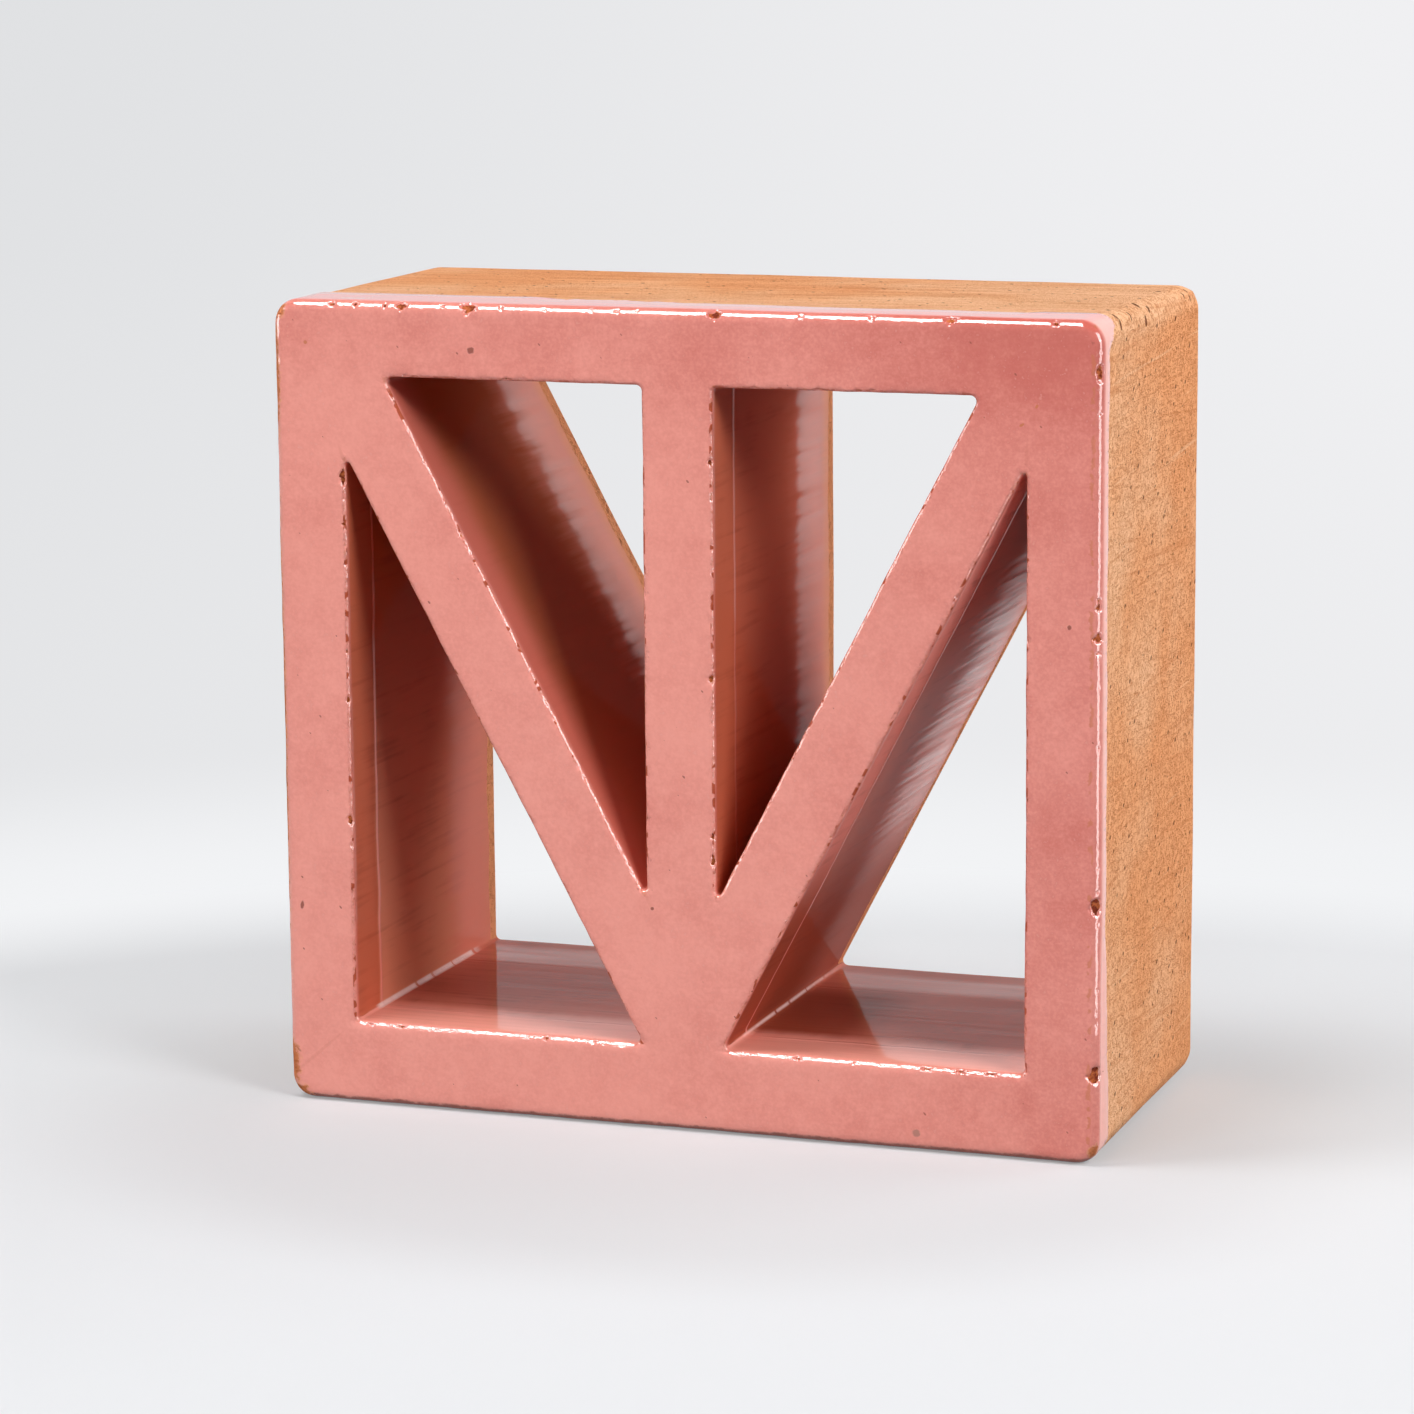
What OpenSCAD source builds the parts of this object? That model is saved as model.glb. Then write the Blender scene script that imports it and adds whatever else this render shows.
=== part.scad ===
// Terracotta breeze block: a square clay frame round a V and a centre bar.
// The section is the same all the way through, and its four triangular openings
// run from the front face to the back face. Every arris is softly rounded.
// The origin is the middle of the bed face. The front faces -Y and up is +Z.

/* [Overall size] */
// Width across the front face
block_w = 200; // [170:1:230]
// Height from the bed face to the top face
block_h = 192; // [165:1:225]
// Depth from the front face to the back face
block_d = 90; // [60:1:140]

/* [Walls] */
// Thickness of the wall along the top
top_wall = 18; // [12:0.5:24]
// Thickness of the sill along the bottom
sill_wall = 20.5; // [12:0.5:26]
// Thickness of each side wall
side_wall = 18; // [12:0.5:24]
// Width of the upright bar in the middle
bar_w = 17.5; // [10:0.5:22]
// Thickness of each arm of the V, measured square to its faces
arm_w = 18; // [10:0.5:22]

/* [Rounding] */
// Radius of the four long outer edges, as seen from the front
corner_r = 6; // [3:0.5:9]
// Radius in the corners of the openings, as seen from the front
opening_r = 1.2; // [0.6:0.1:3]
// Radius of the arris round the outside of the front and back faces
outer_arris_r = 1.5; // [0.5:0.1:2.5]
// Width of the rubbed-down arris round each opening, front and back
opening_arris_w = 0.9; // [0.3:0.1:2]

/* [Hidden] */
$fn = 48;
clay_pink = [0.86, 0.52, 0.47];
// How far a cutter runs past the surface that it cuts
cut_past = 1;
// Sides to a full turn in the small corners of the tapered mouths
mouth_sides = 20;
// The inner corners of the frame, which the V is drawn between
inner_x = block_w / 2 - side_wall;
inner_top = block_h - top_wall;
// Each arm's centreline runs from an inner top corner to the middle of the sill's top
arm_slope = [inner_x, inner_top - sill_wall] / norm([inner_x, inner_top - sill_wall]);
arm_half = arm_w / 2;
// Height on the arm's upper face at a given distance from the middle, and on its lower face
function arm_top_z(x) = sill_wall + (x * arm_slope.y + arm_half) / arm_slope.x;
function arm_under_z(x) = sill_wall + (x * arm_slope.y - arm_half) / arm_slope.x;
// Distance from the middle, at a given height, on the same two faces
function arm_top_x(z) = ((z - sill_wall) * arm_slope.x - arm_half) / arm_slope.y;
function arm_under_x(z) = ((z - sill_wall) * arm_slope.x + arm_half) / arm_slope.y;

// Sharp corners of the right-hand openings, anticlockwise: above the arm and below it
upper_opening = [
    [bar_w / 2, arm_top_z(bar_w / 2)],
    [arm_top_x(inner_top), inner_top],
    [bar_w / 2, inner_top]
];
lower_opening = [
    [arm_under_x(sill_wall), sill_wall],
    [inner_x, sill_wall],
    [inner_x, arm_under_z(inner_x)]
];

function unit(v) = v / norm(v);

// Directions from corner i of a polygon to the corners after it and before it
function to_next(points, i) = unit(points[(i + 1) % len(points)] - points[i]);
function to_last(points, i) = unit(points[(i + len(points) - 1) % len(points)] - points[i]);

// Angle inside a polygon at corner i
function corner_angle(points, i) = acos(to_next(points, i) * to_last(points, i));

// Radius of the circle that fits inside a triangle
function inner_circle_r(points) =
    let (a = points[1] - points[0])
    let (b = points[2] - points[0])
    cross(a, b) / (norm(a) + norm(b) + norm(a - b));

// Centre of the circle of radius r that touches both sides at corner i
function corner_centre(points, i, r) =
    points[i] + unit(to_next(points, i) + to_last(points, i)) * r / sin(corner_angle(points, i) / 2);

// Rectangle centred on the origin with rounded corners
module rounded_rect(w, h, r) {
    square([w - 2 * r, h], center = true);
    square([w, h - 2 * r], center = true);
    for (x = [-1, 1], y = [-1, 1]) {
        translate([x * (w / 2 - r), y * (h / 2 - r)]) circle(r = r);
    }
}

// Plain block standing on the bed face: two rounded bars crossed, and a quarter post at each corner
module blank() {
    translate([0, 0, block_h / 2]) {
        rotate([90, 0, 90])
            linear_extrude(height = block_w - 2 * corner_r, center = true)
                rounded_rect(block_d, block_h, outer_arris_r);
        linear_extrude(height = block_h - 2 * corner_r, center = true)
            rounded_rect(block_w, block_d, outer_arris_r);
        for (x = [0, 1], z = [0, 1]) {
            mirror([x, 0, 0]) mirror([0, 0, z])
                translate([block_w / 2 - corner_r, 0, block_h / 2 - corner_r])
                    rotate([90, 0, 0])
                        corner_post();
        }
    }
}

// Quarter of a turned post whose ends are rounded like the outer arris
module corner_post() {
    rotate_extrude(angle = 90) {
        intersection() {
            rounded_rect(2 * corner_r, block_d, outer_arris_r);
            translate([0, -block_d / 2]) square([corner_r, block_d]);
        }
    }
}

// Cutter for the mouth of an opening, with the face at z = 0. It widens at 45 degrees, so it is
// the opening's outline scaled about the centre of the circle that fits inside the triangle
module mouth_cutter(points) {
    fit_r = inner_circle_r(points);
    middle = corner_centre(points, 0, fit_r);
    deep = opening_arris_w + cut_past;
    translate([middle.x, middle.y, -deep])
        linear_extrude(height = deep + cut_past, scale = (fit_r + deep) / (fit_r - cut_past))
            scale((fit_r - cut_past) / fit_r)
                translate(-middle) opening_outline(points, $fn = mouth_sides);
}

// Outline of an opening with its corners rounded: the flat sides between the points where the
// corner circles touch them, and the circles themselves
module opening_outline(points) {
    count = len(points);
    centres = [for (i = [0:count - 1]) corner_centre(points, i, opening_r)];
    polygon([
        for (i = [0:count - 1])
            let (side = unit(points[(i + 1) % count] - points[i]))
            let (outward = opening_r * [side.y, -side.x])
            each [centres[i] + outward, centres[(i + 1) % count] + outward]
    ]);
    for (centre = centres) {
        translate(centre) circle(r = opening_r);
    }
}

// Everything cut away for one opening, running through the block along Y
module opening_cutter(points) {
    rotate([90, 0, 0]) {
        linear_extrude(height = block_d + 2 * cut_past, center = true) opening_outline(points);
        for (end = [0, 1]) {
            mirror([0, 0, end]) translate([0, 0, block_d / 2]) mouth_cutter(points);
        }
    }
}

// The whole block, one piece of fired clay
module block() {
    color(clay_pink)
        difference() {
            blank();
            for (side = [0, 1]) {
                mirror([side, 0, 0]) {
                    opening_cutter(upper_opening);
                    opening_cutter(lower_opening);
                }
            }
        }
}

block();
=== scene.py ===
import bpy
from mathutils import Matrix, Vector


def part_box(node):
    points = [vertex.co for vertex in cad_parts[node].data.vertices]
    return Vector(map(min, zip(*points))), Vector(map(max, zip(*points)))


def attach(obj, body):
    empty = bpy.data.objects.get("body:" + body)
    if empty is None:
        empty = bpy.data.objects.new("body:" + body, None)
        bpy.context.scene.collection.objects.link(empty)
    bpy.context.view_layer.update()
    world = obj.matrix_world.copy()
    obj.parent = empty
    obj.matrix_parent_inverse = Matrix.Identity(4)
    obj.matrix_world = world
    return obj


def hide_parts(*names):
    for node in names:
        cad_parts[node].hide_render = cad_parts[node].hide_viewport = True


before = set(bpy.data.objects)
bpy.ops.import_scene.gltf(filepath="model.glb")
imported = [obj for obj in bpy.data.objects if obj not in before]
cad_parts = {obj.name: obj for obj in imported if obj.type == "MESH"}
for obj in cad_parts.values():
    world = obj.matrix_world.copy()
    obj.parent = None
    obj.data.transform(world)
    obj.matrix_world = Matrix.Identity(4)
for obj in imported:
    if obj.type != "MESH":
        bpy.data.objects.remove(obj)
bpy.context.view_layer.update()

import math

import bmesh
import bpy
import numpy as np
from mathutils import Quaternion, Vector, noise

mm = 0.001  # the meshes are in metres, every size below is in millimetres

blockLow, blockHigh = (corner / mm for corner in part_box("block"))
frontY = blockLow.y
backY = blockHigh.y
topZ = blockHigh.z
halfWidth = blockHigh.x

# The frame round the V, as in the block's source
wall = {"top": 18.0, "sill": 20.5, "side": 18.0, "bar": 17.5, "arm": 18.0}
innerX = halfWidth - wall["side"]
innerTop = topZ - wall["top"]


def linear(red, green, blue):  # screen colour, 0 to 255, to the renderer's own
    def one(value):
        value = value / 255
        return value / 12.92 if value <= 0.04045 else ((value + 0.055) / 1.055) ** 2.4
    return (one(red), one(green), one(blue), 1.0)


# camera

# Solved from the photo's straight edges, in degrees and millimetres
view = {
    "lens": 121.27,
    "azimuth": 19.55,
    "elevation": 10.43,
    "roll": -0.47,
    "distance": 1137.0,
    "target": (-9.04, 0.0, 92.14),
}


def makeCamera():
    turn, rise = math.radians(view["azimuth"]), math.radians(view["elevation"])
    back = Vector((math.sin(turn) * math.cos(rise), -math.cos(turn) * math.cos(rise), math.sin(rise)))
    data = bpy.data.cameras.new("camera")
    data.lens = view["lens"]
    data.sensor_width = 36
    camera = bpy.data.objects.new("camera", data)
    camera.location = (Vector(view["target"]) + back * view["distance"]) * mm
    camera.rotation_mode = "QUATERNION"
    level = (-back).to_track_quat("-Z", "Y")
    camera.rotation_quaternion = level @ Quaternion((0, 0, 1), math.radians(view["roll"]))
    bpy.context.scene.collection.objects.link(camera)
    bpy.context.scene.camera = camera


makeCamera()
bpy.context.scene.view_settings.view_transform = "Standard"
print("camera set")


# shader wiring

class Wire:
    # A socket that sums can be written with: each operator adds its Math node
    def __init__(self, tree, socket=None):
        self.tree = tree
        self.socket = socket

    def make(self, kind, settings=None, sockets=None, out=0):
        node = self.tree.nodes.new(kind)
        for name, value in (settings or {}).items():
            setattr(node, name, value)
        for key, value in (sockets or {}).items():
            if isinstance(value, Wire):
                self.tree.links.new(value.socket, node.inputs[key])
            else:
                node.inputs[key].default_value = value
        return Wire(self.tree, node.outputs[out] if node.outputs else None)

    def also(self, name):  # another output of the same node
        return Wire(self.tree, self.socket.node.outputs[name])

    def sum(self, operation, *values):
        return self.make("ShaderNodeMath", {"operation": operation}, dict(enumerate(values)))

    def __add__(self, other):
        return self.sum("ADD", self, other)

    def __radd__(self, other):
        return self.sum("ADD", other, self)

    def __sub__(self, other):
        return self.sum("SUBTRACT", self, other)

    def __rsub__(self, other):
        return self.sum("SUBTRACT", other, self)

    def __mul__(self, other):
        return self.sum("MULTIPLY", self, other)

    def __rmul__(self, other):
        return self.sum("MULTIPLY", other, self)

    def most(self, other):
        return self.sum("MAXIMUM", self, other)

    def size(self):
        return self.sum("ABSOLUTE", self)

    # 0 below low, 1 above high and a soft step between
    def step(self, low, high):
        settings = {"interpolation_type": "SMOOTHSTEP"}
        return self.make("ShaderNodeMapRange", settings, {0: self, 1: low, 2: high, 3: 0.0, 4: 1.0})

    def blend(self, first, second):  # colours: first where this mask is 0, second where it is 1
        settings = {"data_type": "RGBA"}
        return self.make("ShaderNodeMix", settings, {0: self, 6: first, 7: second}, out=2)

    def vector(self, operation, other):
        return self.make("ShaderNodeVectorMath", {"operation": operation}, {0: self, 1: other})

    def measure(self, operation, other=(0, 0, 0)):  # vector maths that gives a number
        return self.make("ShaderNodeVectorMath", {"operation": operation}, {0: self, 1: other}, out=1)

    def stretch(self, x, y, z):  # a point in a pattern's own units
        return self.vector("MULTIPLY", (x, y, z))

    def turned(self, degrees):
        sockets = {"Vector": self, "Rotation": tuple(math.radians(value) for value in degrees)}
        return self.make("ShaderNodeMapping", {"vector_type": "POINT"}, sockets)

    def near(self, spot, reach, turn=0.0, rough=0.0):  # 1 inside an ellipsoid, 0 outside it
        offset = self.vector("SUBTRACT", spot)
        if turn:
            offset = offset.turned((0, turn, 0))
        far = offset.stretch(*(1 / value for value in reach)).measure("LENGTH")
        return 1 - (far + rough).step(0.65, 1.1)

    def grain(self, scale, detail=2.0, rough=0.5, flatOnly=False):  # noise round 0.5
        settings = {"normalize": True, "noise_dimensions": "2D" if flatOnly else "3D"}
        sockets = {"Vector": self, "Scale": scale, "Detail": detail, "Roughness": rough}
        return self.make("ShaderNodeTexNoise", settings, sockets)

    def spots(self, scale):  # scattered spots: how far the nearest is, and a number of its own
        settings = {"voronoi_dimensions": "2D"}
        away = self.make("ShaderNodeTexVoronoi", settings, {"Vector": self, "Scale": scale})
        return away, self.make("ShaderNodeSeparateColor", sockets={0: away.also("Color")})


def newMaterial(name):
    material = bpy.data.materials.new(name)
    material.use_nodes = True
    material.node_tree.nodes.clear()
    return material, Wire(material.node_tree)


def finishMaterial(wire, shader):
    wire.make("ShaderNodeOutputMaterial", sockets={"Surface": shader})


# floor, backdrop and lights

stage = {
    "radius": 3200.0,  # the floor turns up into the backdrop here
    "sweep": 900.0,
    "height": 2600.0,
    "sweepSteps": 12,
    "turnSteps": 72,
    # the places from here on are in metres, as the paper's pattern reads them
    "paper": linear(224, 226, 229),
    "paperDim": (0.20, 0.20, 0.21, 1),  # what the paper throws back on the block
    "footShadeTone": linear(203, 202, 204),  # painted shadow: the paper greyed close before the block
    "footSpot": (0, -0.06, 0),
    "footReach": (0.16, 0.11, 1),
    "footShadeShare": 0.7,
    # glow tones of the floor and backdrop, painted brighter close behind the block and to the right as
    # uneven light
    "nearTone": linear(242, 243, 245),
    "nearGlow": 0.40,  # share of the floor's tone that no shadow reaches, and less right by the block
    "blockGlow": 0.26,
    "glowFrom": 0.09,  # the share rises between these distances from the block's middle
    "glowTo": 0.22,
    "unseenGlow": 0.12,  # strength of the backdrop for rays that don't show it
    "farLeft": linear(224, 225, 227),
    "farRight": linear(240, 240, 242),
    "across": (0.94, 0.335, 0),  # the picture's way to the right
    "acrossFrom": -0.7,
    "acrossTo": 0.6,
    "fadeFrom": (0.085, -0.24, 0),  # the lit floor fades into the backdrop round this spot
    "fadeStart": 0.36,
    "fadeMiddle": 0.50,
    "fadeEnd": 0.72,
    "air": (0.95, 0.96, 0.98, 1),
    "airGlow": 0.08,
}

lamps = {
    # name: place, point looked at, width, height, watts
    "overhead": ((-462, -252, 1400), (0, 0, 100), 420, 900, 11.5),
    "frontLeft": ((-720, -1850, 420), (0, 0, 90), 900, 900, 21.5),
    "keyRight": ((1170, -600, 980), (0, 0, 90), 600, 600, 13.5),
    "backRight": ((1150, 800, 380), (0, 0, 100), 800, 800, 12),
}

# Soft boxes that only show as highlights in the glaze
cards = {
    "topCard": ((-480, -760, 1500), (-480, -760, 0), 900, 1000, 74),
    "rightCard": ((1230, -570, 745), (0, 0, 100), 800, 800, 21),
    "lowCard": ((196, -80, 108), (98, -44, 98), 42, 210, 0.22),
    "leftCard": ((-1196, -403, 400), (40, -44, 110), 700, 700, 13),
}


def seenRay(wire):  # 1 for rays that show the background, in the picture or in a reflection
    path = wire.make("ShaderNodeLightPath")
    shown = path.also("Is Camera Ray")
    for name in ("Is Glossy Ray", "Is Transmission Ray"):
        shown = shown.most(path.also(name))
    return shown


def makePaper():  # lit and shaded near the block, with a painted shadow just before it, and a glowing tone of its own far from it
    material, wire = newMaterial("studioPaper")
    seen = seenRay(wire)
    place = wire.make("ShaderNodeTexCoord", out=3)
    # painted shadow: the paper's tone greys just before the block
    foot = place.near(stage["footSpot"], stage["footReach"]) * stage["footShadeShare"]
    tone = seen.blend(stage["paperDim"], foot.blend(stage["paper"], stage["footShadeTone"]))
    near = wire.make("ShaderNodeBsdfDiffuse", sockets={"Color": tone})
    across = place.measure("DOT_PRODUCT", stage["across"]).step(stage["acrossFrom"], stage["acrossTo"])
    reach = place.measure("DISTANCE", stage["fadeFrom"])
    # painted light on the glowing backdrop: brighter to the right, and brightest close behind the block
    farTone = across.blend(stage["farLeft"], stage["farRight"])
    farTone = reach.step(stage["fadeMiddle"], stage["fadeEnd"]).blend(stage["nearTone"], farTone)
    strength = seen * (1 - stage["unseenGlow"]) + stage["unseenGlow"]
    far = wire.make("ShaderNodeEmission", sockets={"Color": farTone, "Strength": strength})
    glow = place.measure("DISTANCE").step(stage["glowFrom"], stage["glowTo"])
    glow = glow * (stage["nearGlow"] - stage["blockGlow"]) + stage["blockGlow"]
    share = glow.most(reach.step(stage["fadeStart"], stage["fadeMiddle"]))
    finishMaterial(wire, wire.make("ShaderNodeMixShader", sockets={0: share, 1: near, 2: far}))
    return material


def makeObject(name, bm, material):
    mesh = bpy.data.meshes.new(name)
    bm.to_mesh(mesh)
    bm.free()
    mesh.shade_smooth()
    mesh.materials.append(material)
    made = bpy.data.objects.new(name, mesh)
    bpy.context.scene.collection.objects.link(made)
    return made


def makeStage():
    bm = bmesh.new()
    flat = stage["radius"] - stage["sweep"]
    profile = [(0, 0), (flat, 0)]
    for count in range(1, stage["sweepSteps"] + 1):
        angle = math.radians(90 * count / stage["sweepSteps"])
        reach = flat + stage["sweep"] * math.sin(angle)
        profile.append((reach, stage["sweep"] * (1 - math.cos(angle))))
    profile.append((stage["radius"], stage["height"]))
    verts = [bm.verts.new((x * mm, 0, z * mm)) for x, z in profile]
    edges = [bm.edges.new(pair) for pair in zip(verts, verts[1:])]
    bmesh.ops.spin(bm, geom=verts + edges, cent=(0, 0, 0), axis=(0, 0, 1), angle=math.radians(360),
                   steps=stage["turnSteps"], use_merge=True)
    bmesh.ops.remove_doubles(bm, verts=bm.verts[:], dist=1e-5)
    bmesh.ops.recalc_face_normals(bm, faces=bm.faces[:])
    makeObject("studioSweep", bm, makePaper())


def makeLamps():
    for name, (place, target, width, height, watts) in (lamps | cards).items():
        data = bpy.data.lights.new(name, "AREA")
        data.shape = "RECTANGLE"
        data.size = width * mm
        data.size_y = height * mm
        data.energy = watts
        lamp = bpy.data.objects.new(name, data)
        lamp.location = Vector(place) * mm
        lamp.visible_camera = False
        lamp.visible_glossy = name in cards
        lamp.visible_diffuse = name in lamps
        lamp.rotation_mode = "QUATERNION"
        lamp.rotation_quaternion = (Vector(target) - Vector(place)).to_track_quat("-Z", "Y")
        bpy.context.scene.collection.objects.link(lamp)


def makeWorld():
    world = bpy.data.worlds.new("studioAir")
    bpy.context.scene.world = world
    world.use_nodes = True
    world.node_tree.nodes.clear()
    wire = Wire(world.node_tree)
    air = wire.make("ShaderNodeBackground", sockets={"Color": stage["air"], "Strength": stage["airGlow"]})
    wire.make("ShaderNodeOutputWorld", sockets={"Surface": air})


makeStage()
makeLamps()
makeWorld()
print("stage and lamps set")


# the block's outline

def armFace(side):  # a face of the V's right arm: its height over a given x, and its x at a height
    length = math.hypot(innerX, innerTop - wall["sill"])
    run, rise = innerX / length, (innerTop - wall["sill"]) / length
    shift = side * wall["arm"] / 2

    def height(x):
        return wall["sill"] + (x * rise + shift) / run

    def across(z):
        return ((z - wall["sill"]) * run - shift) / rise

    return height, across


lean = {"over": 0.9, "under": 3.2}  # how far the right arm's top end leans in the mould


def openingCorners():
    overZ, overX = armFace(1)
    underZ, underX = armFace(-1)
    half = wall["bar"] / 2
    upper = [(half, overZ(half)), (overX(innerTop), innerTop), (half, innerTop)]
    lower = [(underX(wall["sill"]), wall["sill"]), (innerX, wall["sill"]), (innerX, underZ(innerX))]
    mirrored = [[(-x, z) for x, z in reversed(points)] for points in (upper, lower)]
    upper[1] = (upper[1][0] - lean["over"], upper[1][1])
    lower[2] = (lower[2][0], lower[2][1] + lean["under"])
    return [upper, lower] + mirrored


openings = openingCorners()
outerCorners = [(-halfWidth, 0), (halfWidth, 0), (halfWidth, topZ), (-halfWidth, topZ)]


def sidesOf(points):  # start, end, direction and the way to the right of it, for each side
    found = []
    for start, end in zip(points, points[1:] + points[:1]):
        start, end = np.array(start, float), np.array(end, float)
        along = (end - start) / np.linalg.norm(end - start)
        found.append((start, end, along, np.array((along[1], -along[0]))))
    return found


# Faces of the openings that are glazed in their own way, as numbers in innerSides
faceOf = {
    "shelf": (3, 10),  # the sill's top, right and left
    "leftWall": (9,),
    "longArm": (7,),  # the left arm's upper face
    "lowArm": (5,),  # the right arm's lower face
}
# The last entry of each side is the way into the clay
outerSides = [(a, b, along, -right) for a, b, along, right in sidesOf(outerCorners)]
innerSides = [side for points in openings for side in sidesOf(points)]
allSides = outerSides + innerSides


def toSide(side, spots):  # distance of x, z spots from one straight side
    start, end, along, _ = side
    offset = spots - start
    run = np.clip(offset @ along, 0, np.linalg.norm(end - start))
    return np.linalg.norm(offset - run[:, None] * along, axis=1)


def toSides(sides, spots):
    return np.min([toSide(side, spots) for side in sides], axis=0)


# the block's mesh

blockSizes = {
    "postRadius": 6.0,  # the four long outer edges
    "postSteps": 10,
    "openingRadius": 1.2,
    "openingSteps": 6,
    "tipRadius": 0.5,  # in corners of the openings narrower than this many degrees
    "tipAngle": 40,
    "outerArris": 2.6,
    "outerArrisSteps": 6,
    "backArris": 1.4,
    "openingArris": 1.3,
    "openingArrisSteps": 4,
    "rimFold": 0.6,  # an edge folded by more radians than this is a rim
    "rimReach": 6.5,  # a rim edge this near an outer side belongs to the outside
    "cell": 5.0,  # spacing of the first cuts
    "cellShift": 0.2,  # keeps them off the arrises' borders
    "sliver": 0.05,  # edges shorter than this are closed up
    "broad": 7.6,  # longest mesh edge on the flats, then by the arrises and at the chips
    "arrisEdge": 1.4,
    "arrisReach": 2.6,
    "backEdge": 2.6,
    "backReach": 1.6,
    "chipEdge": 0.38,
    "smallChipEdge": 0.55,
    "borderEdge": 0.85,  # along the glaze's border on the outside
    "borderAt": 0.3,  # so far inside the glaze, and this far to both sides of that
    "borderReach": 0.9,
    "borderDepth": 30.0,  # and no deeper than this
    "onSide": 1.0,  # a point this near an outer side lies on it
    "chipReach": 0.5,  # the edges round a chip stay fine this far out
    "grading": 0.9,  # how fast the edges may grow away from there
}

# Chips knocked out of the front arrises: x, z, half length, reach over the face, depth, shape
namedChips = [
    (-84.8, 192, 1.3, 1.5, 0.35, "moon"),
    (-78.5, 192, 2.2, 1.9, 0.40, "tooth"),
    (-71.8, 192, 1.5, 1.7, 0.40, "tooth"),
    (-66.8, 192, 2.9, 2.4, 0.55, "tooth"),
    (-50.5, 192, 3.6, 2.9, 0.60, "tooth"),
    (-42.5, 192, 0.9, 1.4, 0.30, "moon"),
    (-20.4, 192, 1.1, 1.3, 0.25, "moon"),
    (-14.4, 192, 1.2, 1.4, 0.25, "moon"),
    (9.0, 192, 2.9, 2.6, 0.60, "tooth"),
    (29.8, 192, 1.0, 1.3, 0.25, "moon"),
    (46.2, 192, 1.4, 1.4, 0.30, "moon"),
    (64.6, 192, 3.0, 2.2, 0.50, "tooth"),
    (88.7, 192, 0.9, 1.6, 0.45, "moon"),
    (100, 180.0, 2.6, 1.9, 0.50, "moon"),
    (100, 171.0, 0.8, 1.2, 0.30, "moon"),
    (100, 128.5, 2.2, 1.6, 0.40, "moon"),
    (100, 121.4, 2.3, 2.6, 0.55, "tooth"),
    (100, 117.6, 0.9, 1.4, 0.35, "moon"),
    (100, 60.1, 2.3, 2.5, 0.60, "moon"),
    (100, 21.2, 2.2, 3.0, 0.65, "moon"),
    (-82, 150.3, 2.3, 1.7, 0.45, "moon"),
    (-82, 139.5, 0.8, 1.2, 0.30, "moon"),
    (-82, 97.8, 1.1, 1.2, 0.30, "moon"),
    (-82, 68.9, 1.4, 1.5, 0.40, "moon"),
    (8.75, 157.2, 0.8, 1.5, 0.40, "moon"),
    (8.75, 107.3, 1.0, 1.8, 0.50, "moon"),
    (8.75, 70.6, 0.9, 1.4, 0.40, "moon"),
    (8.75, 65.0, 1.6, 1.5, 0.40, "moon"),
    (27.7, 20.5, 1.7, 1.4, 0.40, "tooth"),
    (59.0, 20.5, 1.2, 1.3, 0.30, "moon"),
    (67.3, 20.5, 1.7, 1.4, 0.35, "tooth"),
    (74.4, 20.5, 1.3, 1.2, 0.30, "moon"),
    (-78.7, 20.5, 1.1, 1.3, 0.30, "tooth"),
    (-70.9, 20.5, 1.6, 1.5, 0.35, "tooth"),
    (-34.0, 20.5, 1.4, 1.3, 0.35, "tooth"),
]


def roundedLoop(bm, corners, radius, steps):
    verts = [bm.verts.new((x * mm, frontY * mm, z * mm)) for x, z in corners]
    count = len(verts)
    for i in range(count):
        bm.edges.new((verts[i], verts[(i + 1) % count]))
    spots = [Vector(corner) for corner in corners]
    for i, vert in enumerate(verts):
        angle = (spots[i - 1] - spots[i]).angle(spots[(i + 1) % count] - spots[i])
        size = blockSizes["tipRadius"] if angle < math.radians(blockSizes["tipAngle"]) else radius
        bmesh.ops.bevel(bm, geom=[vert], offset=size / math.tan(angle / 2) * mm, offset_type="OFFSET",
                        segments=steps, profile=0.5, affect="VERTICES", material=-1)


def roundRim(bm, y, outerWidth, innerWidth):  # the arrises of the front or the back face
    flat = [edge for edge in bm.edges if all(abs(vert.co.y / mm - y) < 0.001 for vert in edge.verts)]
    rim = [edge for edge in flat if edge.calc_face_angle(0) > blockSizes["rimFold"]]
    middles = np.array([(edge.verts[0].co + edge.verts[1].co) / 2 / mm for edge in rim])[:, [0, 2]]
    isOuter = toSides(outerSides, middles) < blockSizes["rimReach"]
    groups = (
        (True, outerWidth, blockSizes["outerArrisSteps"]),
        (False, innerWidth, blockSizes["openingArrisSteps"]),
    )
    for wanted, width, steps in groups:
        edges = [edge for edge, outer in zip(rim, isOuter) if outer == wanted]
        bmesh.ops.bevel(bm, geom=edges, offset=width * mm, offset_type="OFFSET", segments=steps,
                        profile=0.5, affect="EDGES", material=-1)


def cutCells(bm, spacing):
    for axis, low, high in ((0, -halfWidth, halfWidth), (1, frontY, backY), (2, 0, topZ)):
        square = Vector([1.0 if i == axis else 0.0 for i in range(3)])
        place = low + spacing / 2 - blockSizes["cellShift"]
        while place < high:
            bmesh.ops.bisect_plane(bm, geom=bm.verts[:] + bm.edges[:] + bm.faces[:], dist=1e-7,
                                   plane_co=square * place * mm, plane_no=square)
            place += spacing


def meshArrays(bm, kind, count):  # places in millimetres, and the corners of each edge or triangle
    mesh = bpy.data.meshes.new("probe")
    bm.to_mesh(mesh)
    places = np.empty(len(mesh.vertices) * 3)
    mesh.vertices.foreach_get("co", places)
    parts = getattr(mesh, kind)
    numbers = np.empty(len(parts) * count, int)
    parts.foreach_get("vertices", numbers)
    bpy.data.meshes.remove(mesh)
    return places.reshape(-1, 3) / mm, numbers.reshape(-1, count)


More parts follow.
